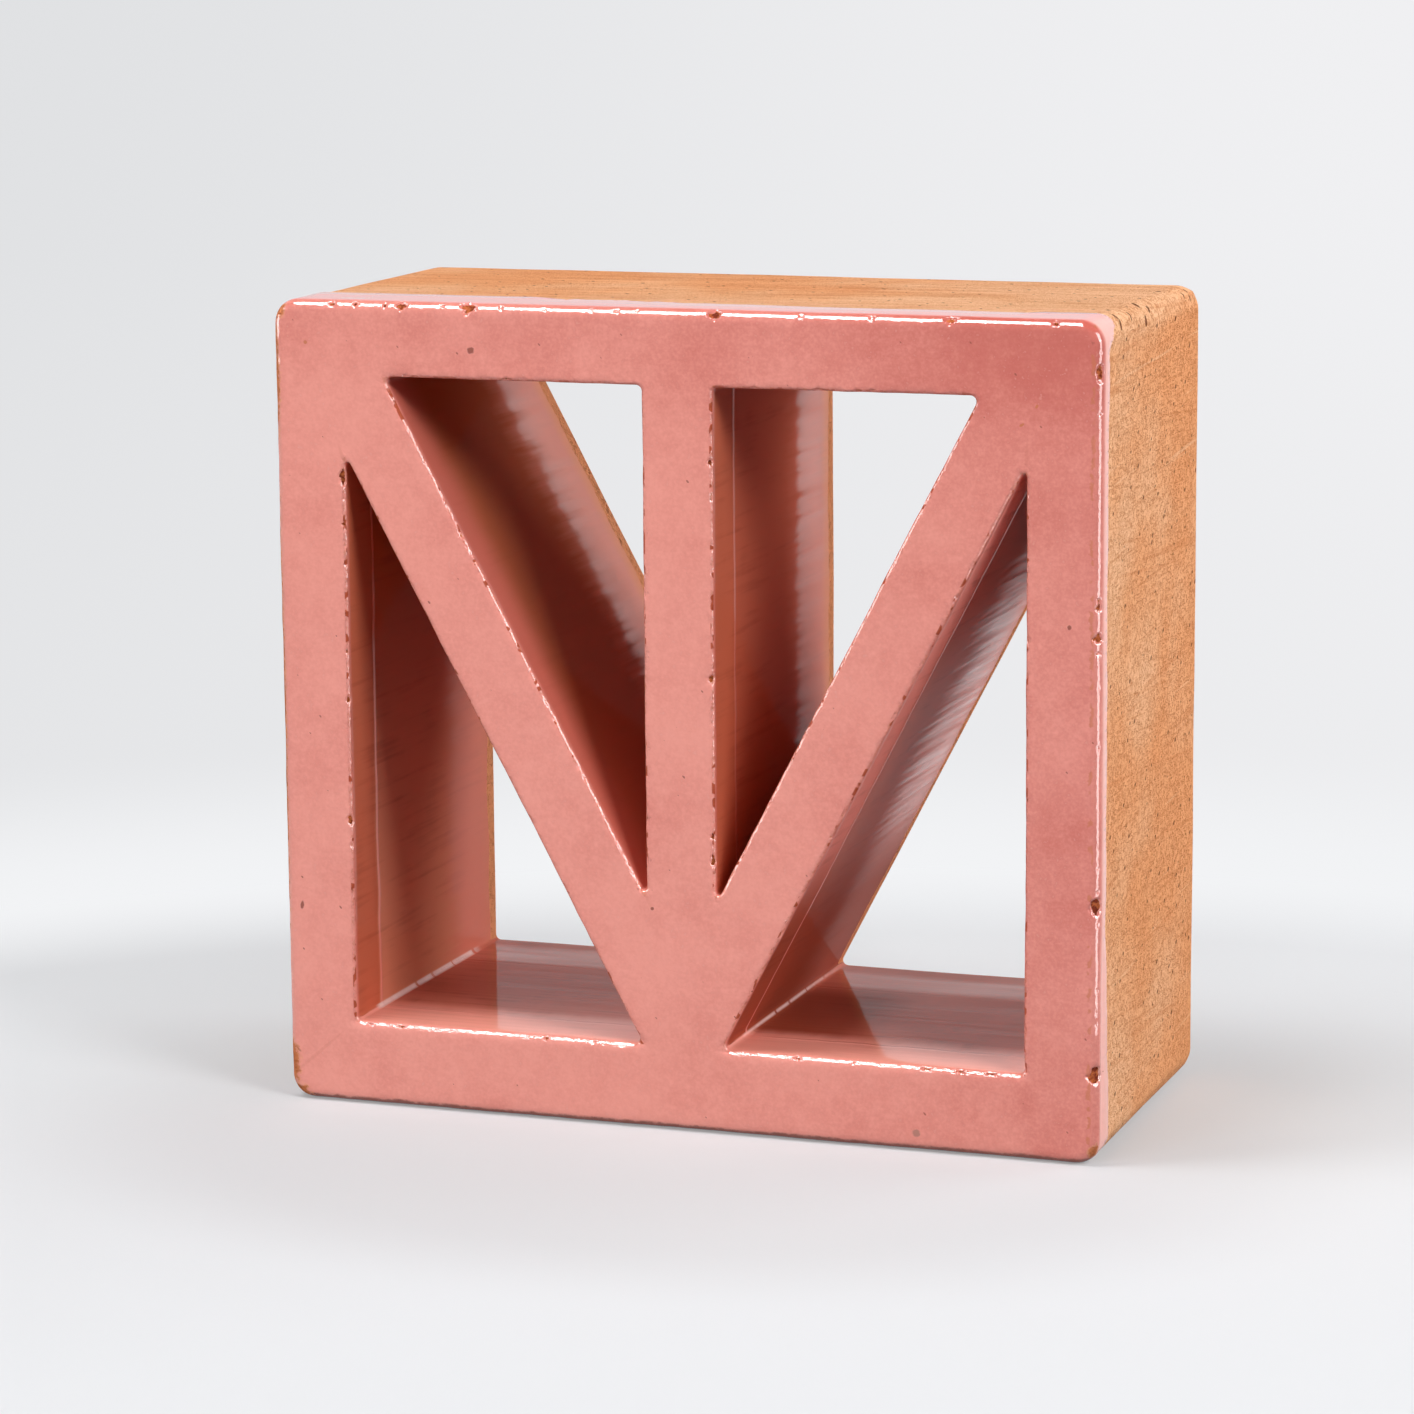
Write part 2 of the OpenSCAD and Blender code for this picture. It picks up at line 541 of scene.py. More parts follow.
def edgesOf(bm):  # middles and lengths
    places, pairs = meshArrays(bm, "edges", 2)
    ends = places[pairs]
    return ends.mean(axis=1), np.linalg.norm(ends[:, 1] - ends[:, 0], axis=1)


def makeTriangles(bm):
    loose = [face for face in bm.faces if len(face.verts) > 3]
    bmesh.ops.triangulate(bm, faces=loose, quad_method="BEAUTY", ngon_method="BEAUTY")


def refine(bm, wanted, passes=7):  # halves every edge that is longer than wanted where it lies
    for _ in range(passes):
        middles, lengths = edgesOf(bm)
        tooLong = np.zeros(len(lengths), bool)
        asked = np.nonzero(lengths > blockSizes["chipEdge"])[0]
        tooLong[asked] = lengths[asked] > wanted(middles[asked])
        edges = [edge for edge, long in zip(bm.edges, tooLong) if long]
        if not edges:
            break
        bmesh.ops.subdivide_edges(bm, edges=edges, cuts=1, use_single_edge=True, use_grid_fill=True)
        makeTriangles(bm)


chipShape = {
    "wobble": 0.35,  # how uneven the outline is
    "wobbleAlong": 1.7,
    "wobbleOver": 1.3,
    "lean": 0.35,  # how far a tooth's point may lie to one side
    "deep": 0.8,  # reach down the arris against the reach over the face
    "lip": 0.35,
    "window": 5.0,  # no chip reaches further than this
    "band": 4.0,  # or this far from an arris
}

# Small chips all round: each pair is the least and the most
smallChips = {
    "seed": 41,
    "fromCorner": (4, 10),
    "halfLength": (0.5, 1.5),
    "outerReach": (0.8, 1.3),
    "innerReach": (0.5, 0.85),
    "depth": (0.12, 0.28),
    "gap": 11.0,
    "leastGap": 2.0,
}


class Chip:
    def __init__(self, x, z, length, reach, depth, shape, seed):
        spot = np.array((x, z), float)
        self.side = min(allSides, key=lambda side: toSide(side, spot[None])[0])
        self.spot = spot
        self.length = length
        self.reach = reach
        self.depth = depth
        self.shape = shape
        self.seed = seed

    # Millimetres inside the chip's outline, below 0 outside it
    def inside(self, points):
        _, _, along, inward = self.side
        offset = points[:, [0, 2]] - self.spot
        run = offset @ along / self.length
        over = offset @ inward
        deep = points[:, 1] - frontY
        places = zip(run * chipShape["wobbleAlong"], over * chipShape["wobbleOver"], deep + self.seed * 7.3)
        wobble = np.array([noise.noise(Vector(place)) for place in places])
        if self.shape == "tooth":
            lean = chipShape["lean"] * math.sin(self.seed * 2.3)
            room = 1 - np.abs(run - lean * (1 - np.abs(run)))
        else:
            room = np.sqrt(np.clip(1 - run * run, 0, 1)) - np.clip(np.abs(run) - 1, 0, None)
        spread = np.hypot(over / self.reach, deep / (chipShape["deep"] * self.reach))
        return (room * (1 + chipShape["wobble"] * wobble) - spread) * self.reach


def seededChips():
    draw = np.random.default_rng(smallChips["seed"])
    found = []
    for number, (start, end, along, _) in enumerate(allSides):
        length = np.linalg.norm(end - start)
        widths = smallChips["outerReach" if number < len(outerSides) else "innerReach"]
        run = draw.uniform(*smallChips["fromCorner"])
        while run < length - smallChips["fromCorner"][0]:
            spot = start + along * run
            half = draw.uniform(*smallChips["halfLength"])
            reach = draw.uniform(*widths)
            found.append((spot[0], spot[1], half, reach, draw.uniform(*smallChips["depth"]), "moon"))
            run += draw.exponential(smallChips["gap"]) + smallChips["leastGap"]
    return found


chips = [Chip(*row, seed=i) for i, row in enumerate(namedChips + seededChips())]
print("chips:", len(chips))


def chipInside(points):  # millimetres inside the nearest chip, and its number, or -1 far from any
    best = np.full(len(points), -9.0)
    owner = np.full(len(points), -1)
    front = np.nonzero(points[:, 1] < frontY + chipShape["band"])[0]
    front = front[toSides(allSides, points[front][:, [0, 2]]) < chipShape["band"]]
    spots = points[front][:, [0, 2]]
    for i, chip in enumerate(chips):
        near = front[(np.abs(spots - chip.spot) < chipShape["window"]).all(axis=1)]
        if len(near):
            value = chip.inside(points[near])
            better = value > best[near]
            best[near[better]] = value[better]
            owner[near[better]] = i
    return best, owner


# The drip on the right side: places are depths from the front
drip = {
    "groove": 0.32,
    "grooveAt": 2.7,
    "grooveWidth": 0.8,
    "rise": 0.2,
    "riseAt": 5.4,
    "riseWidth": 2.2,
    "side": (1.2, 0.3),  # it fades in between these distances from the right face
    "top": (52, 40),  # and between these heights, from the top down and from the foot up
    "foot": (2, 5),
}

# Where the glaze stops, how thick it lies and where it is worn
glaze = {
    "topLeft": 19.0,  # depth of the band on the top face at its left and right ends
    "topRight": 15.5,
    "side": 5.6,
    "sideLow": 8.2,  # reached between these heights
    "low": (60, 5),
    "corner": 8.0,  # the side's band widens to the top's over this height
    "leftMore": 2.0,  # the left side's band is wider
    "underDrip": 5.5,  # how far the band draws in below the drip, between these heights
    "dripEnd": (5, 1),
    "bed": 5.0,
    "bareBack": 5.0,  # left bare by the back arris inside the openings
    "ragged": ((0.7, 11.0, 3.1), (0.25, 3.0, 8.2)),  # size, wave length and seed
    "raggedInside": 1.6,  # so many times that in the openings
    "raggedReach": 4.0,  # how far from the border it is worked out
    "thick": 0.42,
    "coat": (-0.35, 1.1),  # it comes to its full thickness between these
    "bead": 0.16,
    "beadAt": 0.8,
    "beadWidth": 0.9,
    "outside": (2.5, 0.4),  # it stands up between these distances from an outer side
    "bareSunk": 0.02,
    "wearAt": 0.35,  # the line that is worn along each arris
    "wearWidth": 0.75,
    "inner": (0.5, 2.5),  # the openings' own glaze takes over between these depths
}

# The relief of the clay and of the glaze on it
relief = {
    "sunk": 0.20,  # leaves room for the waves under the block's box
    "waves": ((0.13, 34.0, 1.3), (0.05, 12.0, 5.7)),  # size, wave length and seed
    "lumps": ((0.10, 4.5, 2.6), (0.07, 9.0, 7.7)),
    "lumpReach": 2.4,
    "lumpLeast": 0.05,  # no lumps where less than this share is left
    "sillRub": 0.4,
    "sillReach": 1.5,
    "least": 0.01,  # always this far inside the box
}


def smooth(values, low, high):  # 0 at low and 1 at high, whichever of them is the larger
    share = np.clip((values - low) / (high - low), 0, 1)
    return share * share * (3 - 2 * share)


def hump(values, middle, width):  # a soft rise round one value
    return np.exp(-((values - middle) / width) ** 2)


def wander(points, layers):  # slow noises added up
    total = 0
    for size, wave, seed in layers:
        shift = Vector((seed, seed * 0.7, -seed))
        total = total + size * np.array([noise.noise(Vector(point) / wave + shift) for point in points])
    return total


def glazeInside(points):  # millimetres inside the glaze's border, below 0 on bare clay
    x, y, z = points.T
    spots = points[:, [0, 2]]
    onInner = toSides(innerSides, spots) < toSides(outerSides, spots)
    toTop = np.abs(z - topZ)
    nearest = np.argmin([toTop, np.abs(z), np.abs(x - halfWidth), np.abs(x + halfWidth)], axis=0)
    share = (x + halfWidth) / (2 * halfWidth)
    topBand = glaze["topLeft"] + (glaze["topRight"] - glaze["topLeft"]) * share
    sideBand = glaze["side"] + (glaze["sideLow"] - glaze["side"]) * smooth(z, *glaze["low"])
    sideBand = sideBand + (topBand - sideBand) * smooth(toTop, glaze["corner"], 0)
    sideBand = sideBand - glaze["underDrip"] * smooth(z, *glaze["dripEnd"]) * (x > 0)
    bedBand = np.full(len(x), glaze["bed"])
    band = np.choose(nearest, [topBand, bedBand, sideBand, sideBand + glaze["leftMore"]])
    inside = np.where(onInner, backY - y - glaze["bareBack"], band - (y - frontY))
    near = np.abs(inside) < glaze["raggedReach"]
    ragged = wander(points[near], glaze["ragged"])
    inside[near] += ragged * np.where(onInner[near], glaze["raggedInside"], 1.0)
    return inside


def wantedEdge(points):  # longest mesh edge at each point
    sizes = blockSizes
    y = points[:, 1]
    spots = points[:, [0, 2]]
    depth = y - frontY
    wanted = np.full(len(points), sizes["broad"])
    nearSide = toSides(allSides, spots)
    fromFront = np.clip(np.hypot(nearSide, depth) - sizes["arrisReach"], 0, None)
    wanted = np.minimum(wanted, sizes["arrisEdge"] + fromFront * sizes["grading"])
    fromBack = np.clip(np.hypot(nearSide, backY - y) - sizes["backReach"], 0, None)
    wanted = np.minimum(wanted, sizes["backEdge"] + fromBack)
    outerNear = toSides(outerSides, spots)
    inside = glazeInside(points)
    border = np.abs(inside - sizes["borderAt"]) < sizes["borderReach"]
    border = border & (outerNear < sizes["onSide"]) & (depth < sizes["borderDepth"])
    wanted = np.where(border, sizes["borderEdge"], wanted)
    chipped, owner = chipInside(points)
    fine = np.where(owner < len(namedChips), sizes["chipEdge"], sizes["smallChipEdge"])
    fromChip = np.clip(-sizes["chipReach"] - chipped, 0, None)
    return np.minimum(wanted, fine + fromChip * sizes["grading"])


def makeBlockMesh():
    bm = bmesh.new()
    roundedLoop(bm, outerCorners, blockSizes["postRadius"], blockSizes["postSteps"])
    for points in openings:
        roundedLoop(bm, points, blockSizes["openingRadius"], blockSizes["openingSteps"])
    bmesh.ops.triangle_fill(bm, use_beauty=True, use_dissolve=False, edges=bm.edges[:], normal=(0, -1, 0))
    pushed = bmesh.ops.extrude_face_region(bm, geom=bm.faces[:])["geom"]
    bmesh.ops.translate(bm, verts=[part for part in pushed if isinstance(part, bmesh.types.BMVert)],
                        vec=(0, (backY - frontY) * mm, 0))
    bmesh.ops.recalc_face_normals(bm, faces=bm.faces[:])
    roundRim(bm, frontY, blockSizes["outerArris"], blockSizes["openingArris"])
    roundRim(bm, backY, blockSizes["backArris"], blockSizes["openingArris"])
    cutCells(bm, blockSizes["cell"])
    makeTriangles(bm)
    bmesh.ops.dissolve_degenerate(bm, dist=blockSizes["sliver"] * mm, edges=bm.edges[:])
    makeTriangles(bm)
    print("block cut into", len(bm.faces), "triangles")
    refine(bm, wantedEdge)
    print("block refined to", len(bm.faces), "triangles")
    return bm


def surfaceOf(bm):  # places, and normals by area, so that slivers don't count
    places, corners = meshArrays(bm, "polygons", 3)
    a, b, c = (places[corners[:, i]] for i in range(3))
    facing = np.cross(b - a, c - a)
    normals = np.zeros_like(places)
    for i in range(3):
        np.add.at(normals, corners[:, i], facing)
    return places, normals / np.linalg.norm(normals, axis=1)[:, None]


def shapeBlock(bm):
    points, normals = surfaceOf(bm)
    spots = points[:, [0, 2]]
    x, y, z = points.T
    depth = y - frontY
    inside = glazeInside(points)
    chipped, owner = chipInside(points)
    depths = np.array([chip.depth for chip in chips] + [0.0])[owner]
    outerNear = toSides(outerSides, spots)
    nearSide = toSides(allSides, spots)
    onOuter = smooth(outerNear, *glaze["outside"])

    # slow waves left by the mould and the glaze
    lift = wander(points, relief["waves"]) - relief["sunk"]

    # the glaze stands on the clay with a soft bead along its edge
    coat = glaze["thick"] * smooth(inside, *glaze["coat"])
    bead = glaze["bead"] * hump(inside, glaze["beadAt"], glaze["beadWidth"])
    lift = lift + onOuter * (coat + bead - glaze["thick"] - glaze["bareSunk"])

    # small lumps along the arrises
    atArris = hump(np.hypot(nearSide, depth), 0, relief["lumpReach"])
    near = atArris > relief["lumpLeast"]
    lift[near] += atArris[near] * wander(points[near], relief["lumps"])

    # a drip runs down the right side to a round end
    onRight = smooth(halfWidth - x, *drip["side"]) * smooth(z, *drip["top"]) * smooth(z, *drip["foot"])
    lift = lift - onRight * drip["groove"] * hump(depth, drip["grooveAt"], drip["grooveWidth"])
    lift = lift + onRight * drip["rise"] * hump(depth, drip["riseAt"], drip["riseWidth"])

    # the sill's front arris is rubbed rounder than the others
    sillSides = [innerSides[number] for number in faceOf["shelf"]]
    sillFar = np.hypot(toSides(sillSides, spots), depth)
    lift = lift - relief["sillRub"] * hump(sillFar, 0, relief["sillReach"])

    # chips sink with a rounded lip
    lift = lift - depths * smooth(chipped, -chipShape["lip"], chipShape["lip"])
    lift = np.minimum(lift, -relief["least"])
    moved = np.clip(points + normals * lift[:, None], list(blockLow), list(blockHigh))
    for vert, place in zip(bm.verts, moved):
        vert.co = Vector(place) * mm

    # what the glaze's pattern reads at each point
    isInner = toSides(innerSides, spots) < outerNear
    nearest = np.argmin([toSide(side, spots) for side in innerSides], axis=0)
    marks = {name: isInner * np.isin(nearest, numbers) * 1.0 for name, numbers in faceOf.items()}
    marks["glazed"] = inside
    marks["chipped"] = chipped
    marks["arris"] = hump(np.hypot(nearSide, depth), glaze["wearAt"], glaze["wearWidth"])
    marks["inner"] = isInner * smooth(depth, *glaze["inner"])
    return marks


def makeBlock(material):
    bm = makeBlockMesh()
    marks = shapeBlock(bm)
    block = makeObject("glazedBlock", bm, material)
    for name, values in marks.items():
        attribute = block.data.attributes.new(name, "FLOAT", "POINT")
        attribute.data.foreach_set("value", values.astype(np.float32))
    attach(block, "root")
    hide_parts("block")
    print("block mesh:", len(block.data.polygons), "triangles")


# glaze and clay

finish = {
    "pinkPale": linear(246, 156, 141),  # lower left of the front
    "pinkDeep": linear(208, 101, 88),  # upper right
    "pinkFleck": linear(250, 184, 170),
    "pinkTop": linear(250, 146, 138),  # on the band round the outside
    # paler on the right side's band, partly a painted sheen
    "pinkSideSheen": linear(255, 186, 174),
    "insideFront": linear(206, 110, 80),
    "insideMiddle": linear(204, 108, 80),
    "insideLowLit": linear(224, 144, 114),  # painted light low on the left wall, and painted shade high on it
    "insideHighShade": linear(190, 92, 44),
    # painted light and shade: the arm's lit front tone, then its shaded middle
    "armLit": linear(210, 112, 95),
    "armShaded": linear(188, 102, 66),
    # lighter back tones: glaze tone, partly painted light from the back mouths
    "insideBackLit": linear(226, 132, 110),
    "armBackLit": linear(240, 160, 142),
    # painted light at the front of the right arm's lower face
    "lowFrontLit": linear(250, 160, 146),
    # the right arm's back tone, partly painted light
    "lowBackLit": linear(242, 170, 160),
    # painted light on the sills' front strip
    "shelfFrontLit": linear(253, 168, 150),
    "shelfMiddle": linear(216, 126, 106),
    # painted shade on the sill under the arm and low on the right arm
    "shelfShade": linear(162, 76, 54),
    # painted highlight along the beads where the walls meet the sill
    "seamHighlight": linear(255, 206, 194),
    "thin": linear(205, 112, 70),  # glaze gone thin over an arris
    "backRim": linear(250, 172, 124),  # bare clay by the back mouths
    "clay": linear(243, 168, 116),
    "clayPale": linear(250, 194, 150),
    "clayDeep": linear(214, 130, 76),
    "dash": linear(176, 78, 48),
    "chipDark": linear(138, 58, 38),
    "chipOrange": linear(206, 112, 66),
    "pore": linear(118, 62, 34),
    "bubble": linear(176, 118, 102),
}

# Bare patches at the block's corners and down its left arris: x, depth, z and the reach along each
barePatches = [
    ((-99.6, 1.0, 8.6), (3.0, 3.4, 6.4)),
    ((-98.0, 1.0, 1.8), (4.0, 2.6, 2.2)),
    ((-98.4, 1.2, 189.4), (2.0, 2.4, 2.2)),
    ((-99.9, 1.2, 173.0), (2.0, 2.4, 17.0)),
    ((-99.9, 1.2, 92.0), (1.4, 1.9, 62.0)),
    ((98.6, 0.9, 3.2), (1.7, 1.4, 2.2)),
]

# Marks in the front glaze: x, z, half length, half width, turn, colour
frontMarks = [
    (-50.0, 181.0, 0.9, 0.8, 0, "chipDark"),
    (-91.4, 181.8, 0.5, 0.5, 0, "chipOrange"),
    (92.3, 123.3, 0.5, 0.6, 0, "chipDark"),
    (-95.6, 47.6, 1.1, 0.5, 80, "chipDark"),
    (56.8, 4.5, 1.0, 1.0, 0, "bubble"),
    (-7.0, 52.7, 0.4, 0.4, 0, "chipDark"),
    (81.2, 168.2, 0.7, 0.35, 30, "chipOrange"),
    (84.6, 172.4, 0.6, 0.3, 60, "chipOrange"),
]

# Creases in the front glaze, painted darker as the shade in their grooves: x and z of both ends
creases = [
    (-9.1, 57.5, -7.0, 52.0),
    (-99.0, 5.9, -85.2, 17.8),
    (82.1, 157.5, 82.5, 165.0),
    (-82.0, 153.5, -83.6, 158.0),
]

seams = [innerSides[number][0] for number in faceOf["shelf"]]  # the beads where a wall meets the sill
seamWidth = 1.0

# How the front glaze is mixed: noise scales per metre, then shares of each thing in the colour
frontLook = {
    "cloudScale": 55,
    "mottleScale": 300,
    "fleckScale": 1200,
    "weaveScale": (260, 120, 1100),
    "grainScale": 420,
    "swellScale": 120,
    "holeScale": 0.12,  # this one per millimetre
    "cloud": 0.75,
    "mottle": 0.6,
    "weave": 0.16,
    "fleck": 0.3,
    "paleFleck": 0.25,
    "band": 0.9,
    "hole": 0.75,
    "mark": 0.85,
    "dotsAt": 97.4,  # x of the dotted line down the right arris
    "dots": 0.55,
    # share of the painted contact shadow along the foot
    "foot": 0.9,
    # share of the painted shade in the creases
    "creaseShade": 0.14,
    "creaseWidth": 0.42,
    "grain": 0.10,  # heights, with more grain along the arrises
    "arrisGrain": 0.9,
    "swell": 0.08,
}

# Places in the openings, as depths from the front
insideLook = {
    "frontEnd": 13.0,  # the painted light by the front mouth, partly thick glaze, ends here
    "ridge": 15.2,
    "backStart": 61.0,  # and starts again here
    "shelfLine": 65.5,
    "rim": 82.0,
    "brushAcross": 0.5,  # scales of the brush lines per millimetre, across and along
    "brushAlong": 0.022,
    "raggedScale": (150, 60, 60),  # per metre
    "dust": 0.26,
    # share of that painted highlight
    "seamHighlight": 0.9,
}

# How the bare clay is mixed, as above
clayLook = {
    "sandScale": 1100,
    "cloudScale": 26,
    "comb": (16, 800, 800),
    "drag": (16, 16, 720),
    "dragBack": (16, 12, 560),
    "wormScale": 1.1,
    "pitScale": 0.22,
    "sand": 0.5,
    "scratch": 0.3,
    "paleDrag": 0.65,
    "groove": 0.6,
    "pit": 0.9,
    "rim": 0.8,
    "plainFrom": 88.0,  # the back is plainer than the sides
}


# Where glaze, clay and chips meet, and the wear along the arrises
edgeLook = {
    "raggedScale": 900,
    "dashScale": 330,
    "chipScale": 700,
    "tickScale": (0, 150, 0),
    "sillEnd": (88.4, 89.2),  # the glaze on the sills stops before the back face
    "rubbed": 0.45,
    "worn": 0.9,
    "bare": 0.8,
}


def markOf(wire, name):
    return wire.make("ShaderNodeAttribute", {"attribute_name": name, "attribute_type": "GEOMETRY"}, out=2)


def mostOf(masks):  # one mask for several spots
    best = None
    for mask in masks:
        best = mask if best is None else best.most(mask)
    return best


def creaseLine(spot, ends, rough):
    x1, z1, x2, z2 = ends
    middle = ((x1 + x2) / 2, 0, (z1 + z2) / 2)
    reach = (math.hypot(x2 - x1, z2 - z1) / 2, 3, frontLook["creaseWidth"])
    return spot.near(middle, reach, math.degrees(math.atan2(z2 - z1, x2 - x1)), rough)


def frontGlaze(place, spot, axes, flat, dash, arris):  # colour and height of the glaze on the outer faces
    x, depth, z = axes
    look = frontLook
    cloud = place.grain(look["cloudScale"], 2, 0.55) - 0.5
    mottle = place.grain(look["mottleScale"], 3, 0.75) - 0.5
    weave = place.stretch(*look["weaveScale"]).grain(1.0, 2, 0.6) - 0.5
    fleck = place.grain(look["fleckScale"], 1, 0.6) - 0.5

    # deeper towards the upper right, with clouds and flecks
    deep = x.step(20, 95) * 0.38 + z.step(150, 188) * (x.step(-90, 95) * 0.34 + 0.20) + 0.12
    deep = deep + cloud * look["cloud"] + mottle * look["mottle"]
    deep = deep + weave * look["weave"] + fleck * look["fleck"]
    colour = deep.step(-0.2, 1.2).blend(finish["pinkPale"], finish["pinkDeep"])
    paleFleck = (mottle * 0.6 + fleck).step(0.17, 0.40) * look["paleFleck"]
    colour = paleFleck.blend(colour, finish["pinkFleck"])
    outside = (depth - 1.2).step(0, 1.6)
    # the right side's band paler, partly a painted sheen
    bandTone = x.step(94, 98).blend(finish["pinkTop"], finish["pinkSideSheen"])
    colour = (outside * look["band"]).blend(colour, bandTone)

    # pin holes, marks, dots down the right arris, a painted contact shadow along the foot, and creases
    # painted darker as shade
    away, pick = flat.spots(look["holeScale"])
    hole = 1 - (away + pick * 0.12 + fleck * 0.05).step(0.02, 0.045)
    colour = (hole * look["hole"]).blend(colour, finish["chipDark"])
    for markX, markZ, length, width, turn, tone in frontMarks:
        mark = spot.near((markX, 0, markZ), (length, 4, width), turn, fleck * 0.8)
        colour = (mark * look["mark"]).blend(colour, finish[tone])
    dots = 1 - (x - look["dotsAt"] + mottle * 2.4).size().step(0.2, 0.7)
    dots = dots * dash.step(0.50, 0.57) * (1 - outside)
    colour = (dots * look["dots"]).blend(colour, finish["chipOrange"])
    # painted shadow: the foot darkened where it meets the floor
    foot = 1 - (z + mottle * 1.6).step(1.1, 1.9)
    colour = (foot * look["foot"]).blend(colour, finish["chipDark"])
    # painted shade: the creases darkened as grooves, with no groove in the relief
    creaseShade = mostOf([creaseLine(spot, ends, cloud * 0.5) for ends in creases])
    colour = (creaseShade * look["creaseShade"]).blend(colour, finish["insideMiddle"])

    grain = place.grain(look["grainScale"], 2, 0.6) - 0.5
    swell = place.grain(look["swellScale"], 1, 0.5) - 0.5
    return colour, grain * (arris * look["arrisGrain"] + look["grain"]) + swell * look["swell"]


def insideGlaze(place, axes, marks):  # the glaze in the openings: thick glaze and painted light by both mouths, painted shade between
    x, depth, z = axes
    look = insideLook
    shelf, leftWall, longArm, lowArm = (marks[name] for name in faceOf)

    # brush lines run from front to back, and across on the sill
    across, along = look["brushAcross"], look["brushAlong"]
    brush = place.make("ShaderNodeCombineXYZ", sockets={
        0: x * (across - shelf * (across - along)),
        1: depth * (along + shelf * (across - along)),
        2: z * across})
    streak = brush.grain(1.0, 2, 0.6) - 0.5
    ragged = place.stretch(*look["raggedScale"]).grain(1.0, 2, 0.65) - 0.5

    # the front band of painted light, the glossy back band, its slow rise in tone as painted light from the
    # back mouth, and the rim by the back mouth
    frontFrom = look["frontEnd"] - longArm * 9 + shelf * 2
    frontTo = look["frontEnd"] + 2.6 + longArm * 4 + shelf * 8
    front = 1 - (depth + ragged * 3).step(frontFrom, frontTo)
    backEdge = look["backStart"] + shelf * 5 - lowArm * 8
    uneven = (ragged * 7 + streak * 9) * (1 - shelf * 0.9)
    back = (depth - backEdge + uneven).step(-2.6 - lowArm * 30, 3.8 + lowArm * 16)
    rim = (depth - look["rim"] + ragged * 4).step(-4, 4)
    backLitRise = (depth - backEdge + uneven * 1.5).step(-12, 10)

    # painted shade in the middle and painted light at the front and the back, face by face
    colour = longArm.blend(finish["insideMiddle"], finish["armShaded"])
    # painted light low on the left wall and painted shade high on it
    colour = (leftWall * (1 - z.step(40, 120))).blend(colour, finish["insideLowLit"])
    colour = (leftWall * z.step(80, 150)).blend(colour, finish["insideHighShade"])
    colour = shelf.blend(colour, finish["shelfMiddle"])
    # painted shade on the sill under the arm
    colour = (shelf * x.step(0, 5) * (1 - x.step(28, 44))).blend(colour, finish["shelfShade"])
    # painted light low on the arm's upper face, by the bar
    colour = (longArm * (1 - z.step(60, 115)) * 0.5).blend(colour, finish["armLit"])
    # painted light by the front mouths
    frontLitTone = longArm.blend(shelf.blend(finish["insideFront"], finish["shelfFrontLit"]), finish["armLit"])
    frontLitTone = (lowArm * z.step(40, 70)).blend(frontLitTone, finish["lowFrontLit"])
    colour = front.blend(colour, frontLitTone)
    # partly painted light rising towards the back mouth
    backLitTone = lowArm.blend(longArm.blend(finish["insideBackLit"], finish["armBackLit"]), finish["lowBackLit"])
    colour = backLitRise.blend(colour, backLitTone)
    # painted shade low on the right arm's lower face
    colour = (lowArm * (1 - z.step(44, 76)) * 0.9).blend(colour, finish["shelfShade"])
    colour = (rim * (1 - shelf.most(lowArm)) * (1 - leftWall * 0.8) * 0.65).blend(colour, finish["backRim"])
    dust = (streak + ragged * 0.6).step(0.02, 0.34) * (1 - backLitRise * 0.7)
    dust = dust * (1 - longArm.most(shelf * front) * 0.75)
    colour = (dust * look["dust"]).blend(colour, finish["chipDark"])
    ridge = (1 - (depth + ragged * 2 - look["ridge"]).size().step(0.2, 0.9)) * (1 - longArm)
    colour = (ridge * (0.35 + (leftWall + lowArm) * 0.4)).blend(colour, finish["pinkPale"])
    line = 1 - ((depth - look["shelfLine"]).size() + (1 - shelf) * 9).step(0.1, 0.7)

    # the gloss fades down the arms and the bar
    fade = 1 - longArm * (depth - 60).step(0, 20) * 0.6 - lowArm * (0.35 + (1 - z.step(46, 80)) * 0.6)
    onBar = (1 - (x - 9).size().step(1, 3)) * (1 - shelf)
    fade = fade * (1 - lowArm * z.step(104, 138) * 0.8)
    fade = fade * (1 - onBar * (1 - z.step(95, 150)) * 0.6)
    gloss = back * (1 - leftWall * 0.85) * (0.66 + streak * (0.9 + lowArm * 1.6))
    gloss = gloss * fade * (1 - rim * 0.6) + backLitRise * 0.10
    sheen = lowArm * z.step(38, 75) * (1 - z.step(95, 130)) * (depth - 14).step(0, 4) * 0.14
    coat = shelf * (0.35 + front * 0.35 + streak * 0.5) + sheen + 0.03
    coat = coat.most(gloss).most(ridge * 0.35)
    height = ridge * 0.18 - line * 0.15 + streak * 0.07 + ragged * 0.12 + back * 0.06
    return colour, height, coat


